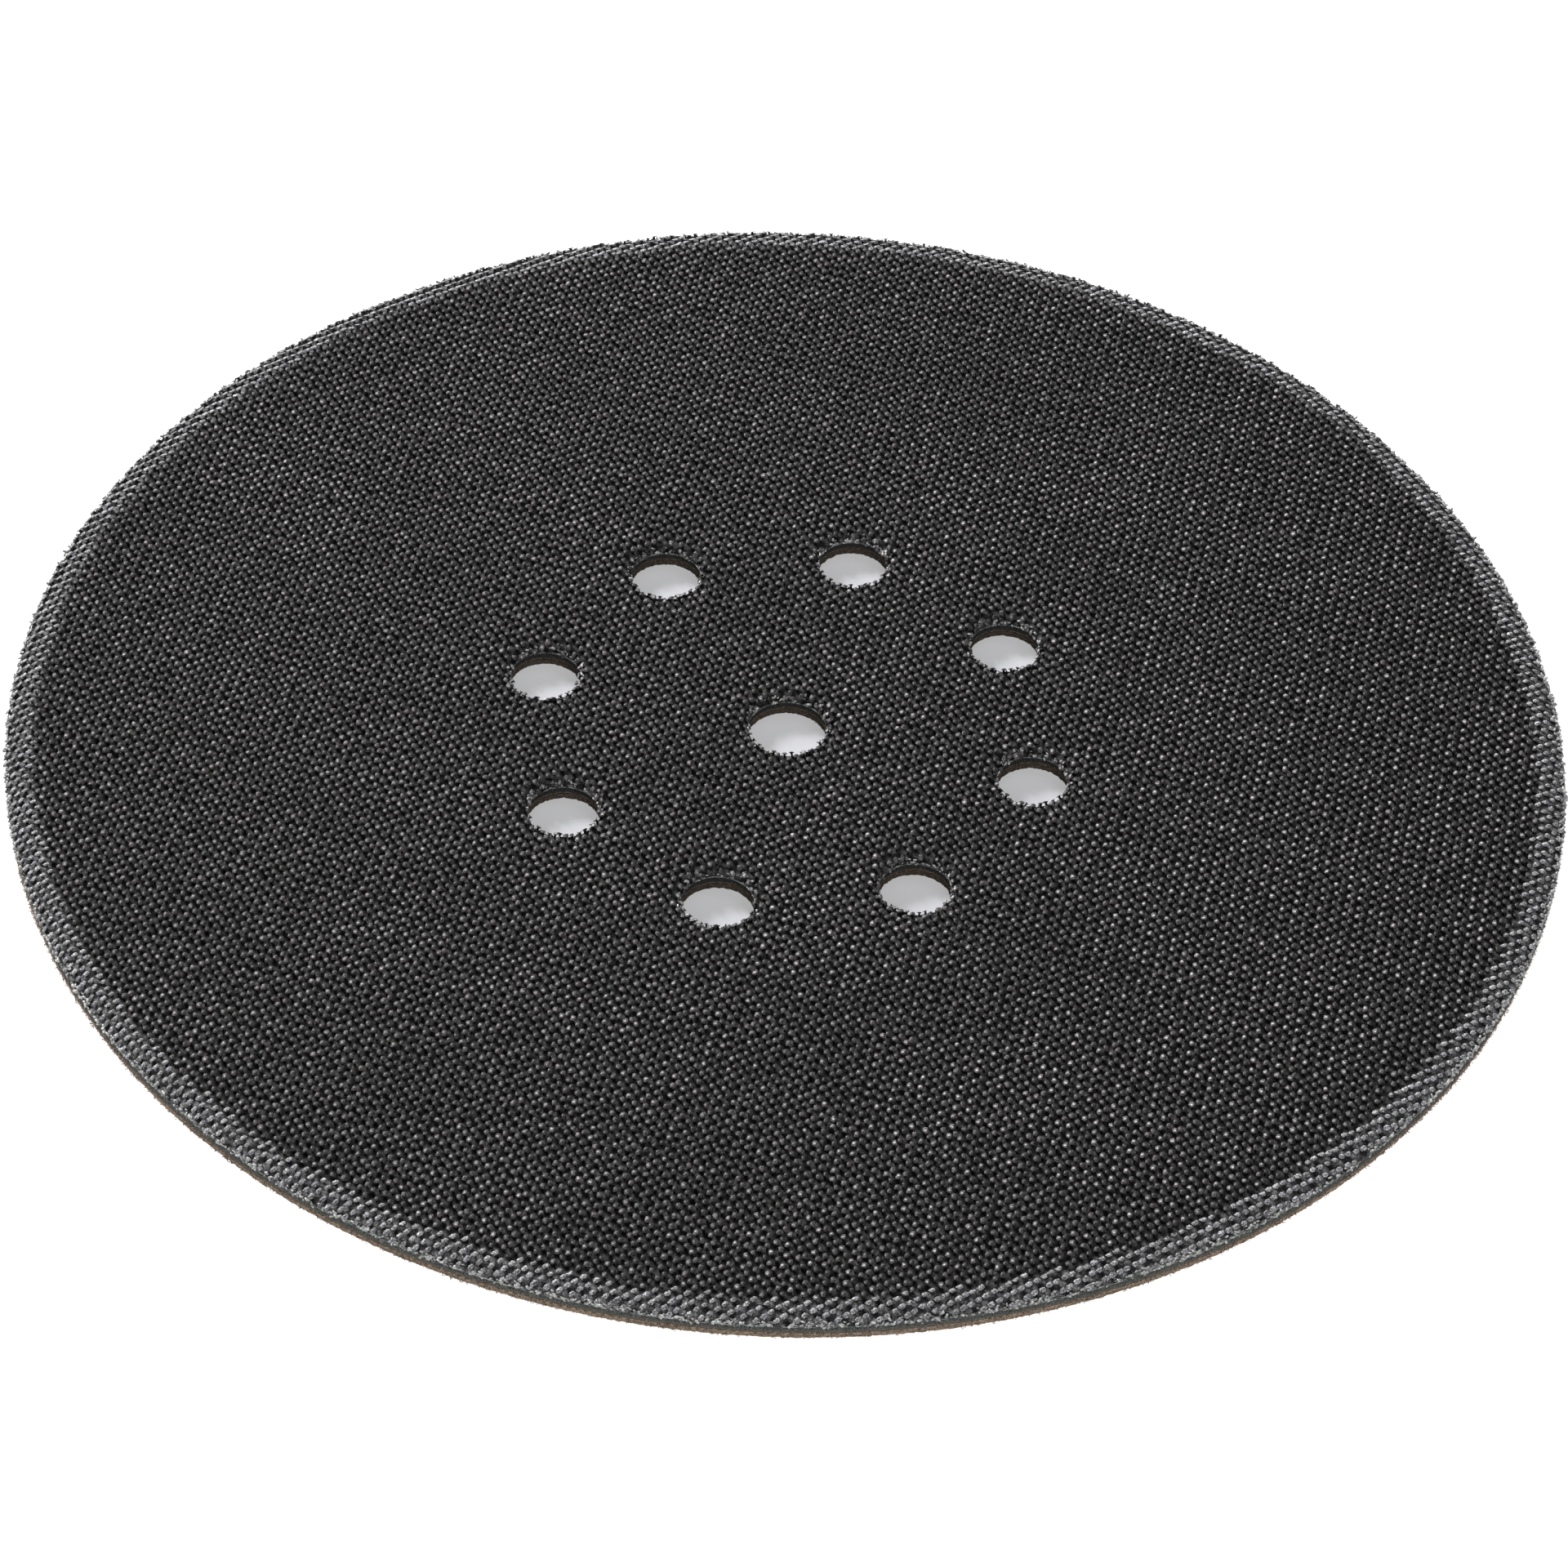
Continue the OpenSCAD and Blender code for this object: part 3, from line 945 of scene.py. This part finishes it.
def makeVelourGround(s):
    paint, tree, shader = newMaterial("brushedVelour", roughness=0.95, specular=0.1, sheen=0.15)
    grain, cloud = placeGrain(tree, *s["grain"])
    tone = colourRamp(tree, grain, s["tones"])
    # the brushed patches' lighter and darker tone is painted sheen
    tone = mixColours(tree, "MULTIPLY", 1.0, tone, colourRamp(tree, cloud, s["brushAndSheenPatches"]))
    tree.links.new(paintHoleWallShade(tree, tone, s["holeShade"]), shader.inputs["Base Color"])
    addBump(tree, shader, grain, s["relief"])
    piece = dieCutLayer("velourGround", "loop_pile", s, paint)


makeHookCloth(clothSet)
makeFoam(foamSet)
makeKnit(knitSet)
makeVelourGround(pileSet)


def strandTemplate(name, s, paint):
    # one short bent strand, spun as an arc that leaves the origin upwards and bends towards +X
    bm = bmesh.new()
    ring = bmesh.ops.create_circle(bm, segments=s["sides"], radius=s["thickness"] / 2)["verts"]
    ring += edgesOf(ring)
    bend = math.radians(s["bend"])
    centre = s["length"] / bend
    bmesh.ops.spin(bm, geom=ring, axis=(0, 1, 0), cent=(centre, 0, 0), steps=s["steps"], angle=bend)
    bmesh.ops.remove_doubles(bm, verts=bm.verts, dist=1e-7)
    bmesh.ops.holes_fill(bm, edges=[e for e in bm.edges if e.is_boundary])
    bmesh.ops.recalc_face_normals(bm, faces=bm.faces)
    setRise(bm, lambda co: clamp(math.atan2(co.z, centre - co.x) / bend))
    return linkMesh(name, bm, paint)


inlandChance = (-0.6, 1)    # what is drawn below nought stays in the wall itself
onTop = 0.1 * mm            # roots farther in from the wall than this stand on the cloth
groundClear = 0.04 * mm     # how near the ground a strand's tip may come
lowRoot = 0.5 * mm          # strands rooted lower than this bend upwards


def wallPlaces(draw, s):
    # roots and directions of strands along the cut walls, the rim's first and then each hole's, some of
    # them a little way in on top of the cloth
    cloth = layerShape("hook_ground_cloth")
    walls = [((0, 0, -1), padRadius - s["rimSink"], s["rimCount"])]
    walls += [((x, y, 1), r, s["holeCount"]) for x, y, r in dustHoles]
    for (x, y, side), radius, count in walls:
        for _ in range(count):
            angle = draw.uniform(0, 2 * math.pi)
            out = Vector((math.cos(angle), math.sin(angle), 0)) * -side
            inland = s["inland"] * max(draw.uniform(*inlandChance), 0) ** 2
            root = Vector((x, y, draw.uniform(*s["heights"])))
            root -= out * side * radius + out * (s["sink"] + inland)
            if inland > onTop:
                root.z = faceAt(cloth, root.x, root.y)[0].z
            yield root, out, side < 0


def layStrands(name, s, paint, slot):
    # strands out of the cut walls, lying every way but mostly along the wall, and none through the floor
    draw = random.Random(s["seed"])
    places = []
    for root, out, atRim in wallPlaces(draw, s):
        grow = draw.uniform(*s["grow"])
        tint = draw.random() * (1 if atRim else s["holeTint"])
        along = Vector((-out.y, out.x, 0)) * draw.choice((-1, 1))
        way = out * draw.uniform(*s["outward"]) + along * draw.uniform(*s["sideways"])
        way.z = draw.uniform(*s["upward"])
        way.normalize()
        way.z = max(way.z, -(root.z - groundClear) / (s["length"] * grow))
        turn = way.to_track_quat("Z", "X").to_matrix() @ Matrix.Rotation(draw.uniform(0, 2 * math.pi), 3, "Z")
        if root.z < lowRoot and turn.col[0].z < 0:
            turn = turn @ Matrix.Rotation(math.pi, 3, "Z")
        places.append((root, turn.to_euler(), Vector((1, 1, 1)) * grow, tint))
    spreadSectors(name, strandTemplate(name + "Template", s, paint), places, 1, slot, [])
    print(name, "made:", len(places))


yarnSet = {
    # the hook cloth's cut yarns, pale where the knife has opened them
    "seed": 23, "length": 0.62 * mm, "thickness": 0.34 * mm, "bend": 35, "sides": 5, "steps": 2,
    "rimCount": 4200, "holeCount": 90, "holeTint": 0.9, "inland": 0.6 * mm,
    "heights": (2.20 * mm, 2.62 * mm), "sink": 0.04 * mm, "rimSink": 0.16 * mm,
    "grow": (0.40, 1.05), "outward": (-0.1, 0.4), "sideways": (0.3, 1.0), "upward": (-0.2, 0.35),
    "tones": [(0.0, (0.08, 0.085, 0.085)), (0.3, (0.35, 0.365, 0.36)), (0.5, (0.80, 0.83, 0.815)),
              (1.0, (0.96, 0.98, 0.97))],
    "rough": (0.5, 0.7), "specular": 0.3,
}
napSet = {
    # brown loop fibres that fray out of the lower cloth's cut edge
    "seed": 31, "length": 0.36 * mm, "thickness": 0.10 * mm, "bend": 95, "sides": 4, "steps": 2,
    "rimCount": 6400, "holeCount": 160, "holeTint": 0.3, "inland": 0.0,
    "heights": (0.10 * mm, 1.36 * mm), "sink": 0.05 * mm, "rimSink": 0.05 * mm,
    "grow": (0.5, 1.1), "outward": (0.0, 0.40), "sideways": (0.3, 1.0), "upward": (-0.2, 0.6),
    "tones": [(0.0, (0.22, 0.155, 0.115)), (0.5, (0.74, 0.58, 0.45)), (0.85, (0.90, 0.79, 0.67)),
              (1.0, (0.95, 0.90, 0.83))],
    "rough": (0.7, 0.9), "specular": 0.2,
}
underSet = {
    # the loops of the lower face, brushed over one another
    "seed": 47, "length": 2.60 * mm, "thickness": 0.30 * mm, "bend": 175, "sides": 4, "steps": 3,
    "pitch": 2.30 * mm, "rowShare": 0.87,       # the rows lie at this share of the pitch
    "scatter": 0.6 * mm, "clear": 1.8 * mm, "lift": 0.38 * mm, "squash": 0.32,
    "roll": 0.5, "grow": (0.75, 1.1), "pieces": 2,
    "tones": [(0.0, (0.12, 0.080, 0.056)), (0.5, (0.40, 0.28, 0.20)), (1.0, (0.72, 0.57, 0.43))],
    # painted shade by rise: each loop is darker towards both ends, where it dips into the ground
    "paintedShades": [(0.0, grey(0.5)), (0.5, grey(1)), (1.0, grey(0.5))],
    "rough": (0.7, 0.9), "specular": 0.2,
}


def makeFringes():
    # painted shade: each strand is darker towards its root at the wall
    paintedShades = [(0.0, grey(0.55)), (1.0, grey(1))]
    for name, s, finish, slot in (("cutYarnEnds", yarnSet, "cutYarn", "hook_cloth"),
                                  ("edgeNap", napSet, "brownNap", "loop_velour")):
        paint = strandMaterial(finish, s["tones"], paintedShades, s["rough"], specular=s["specular"])
        layStrands(name, s, paint, slot)


def makeUnderside(s):
    # brushed loops over the face that lies on the ground, each bent over and back into it
    draw = random.Random(s["seed"])
    paint = strandMaterial("brushedLoops", s["tones"], s["paintedShades"], s["rough"], specular=s["specular"])
    reach = int(padRadius / s["pitch"]) + 1
    rows = range(-reach, reach + 1)
    lift = Vector((0, 0, s["lift"]))
    hanging = Matrix.Rotation(math.pi, 3, "X")
    places = []
    for i, j in product(rows, rows):
        spot = Vector((i + 0.5 * (j % 2), j * s["rowShare"], 0)) * s["pitch"]
        spot += Vector((draw.gauss(0, 1), draw.gauss(0, 1), 0)) * s["scatter"]
        turn = Matrix.Rotation(draw.uniform(0, 2 * math.pi), 3, "Z")
        turn = hanging @ (turn @ Matrix.Rotation(draw.gauss(0, s["roll"]), 3, "X"))
        grow = draw.uniform(*s["grow"])
        if spot.length > padRadius - s["clear"] or holeGap(spot.x, spot.y) < s["clear"]:
            continue
        size = Vector((1, 1, s["squash"])) * grow
        places.append((spot + lift, turn.to_euler(), size, draw.random()))
    template = strandTemplate("loopTemplate", s, paint)
    spreadSectors("brushedLoops", template, places, s["pieces"], "loop_velour", [])
    print("brushed loops made:", len(places))


makeFringes()
makeUnderside(underSet)


filmSet = {
    "grain": (1.3, 4.0),
    "stops": (0.35, 0.85),
    "relief": 0.05 * mm,
    # node: darker and lighter tone, roughness, how much light it throws back
    "finishes": {
        "lower_adhesive_film": ((0.090, 0.072, 0.055), (0.28, 0.23, 0.18), 0.45, 0.3),
        "upper_adhesive_film": ((0.045, 0.050, 0.047), (0.16, 0.17, 0.16), 0.45, 0.3),
        "hook_binder_coat": ((0.035, 0.040, 0.040), (0.70, 0.77, 0.74), 0.55, 0.4),
    },
}


def dressFilms(s):
    # the two films and the binder coat keep their CAD solids, with finishes of their own
    for node, (dark, light, roughness, specular) in s["finishes"].items():
        paint, tree, shader = newMaterial(node + "Finish", roughness=roughness, specular=specular)
        grain, _ = placeGrain(tree, *s["grain"])
        tone = colourRamp(tree, grain, list(zip(s["stops"], (dark, light))))
        tree.links.new(tone, shader.inputs["Base Color"])
        addBump(tree, shader, grain, s["relief"])
        data = frame["nodes"][node].data
        if not data.materials:
            data.materials.append(paint)
        for i in range(len(data.materials)):
            data.materials[i] = paint


dressFilms(filmSet)
print("films and binder dressed")
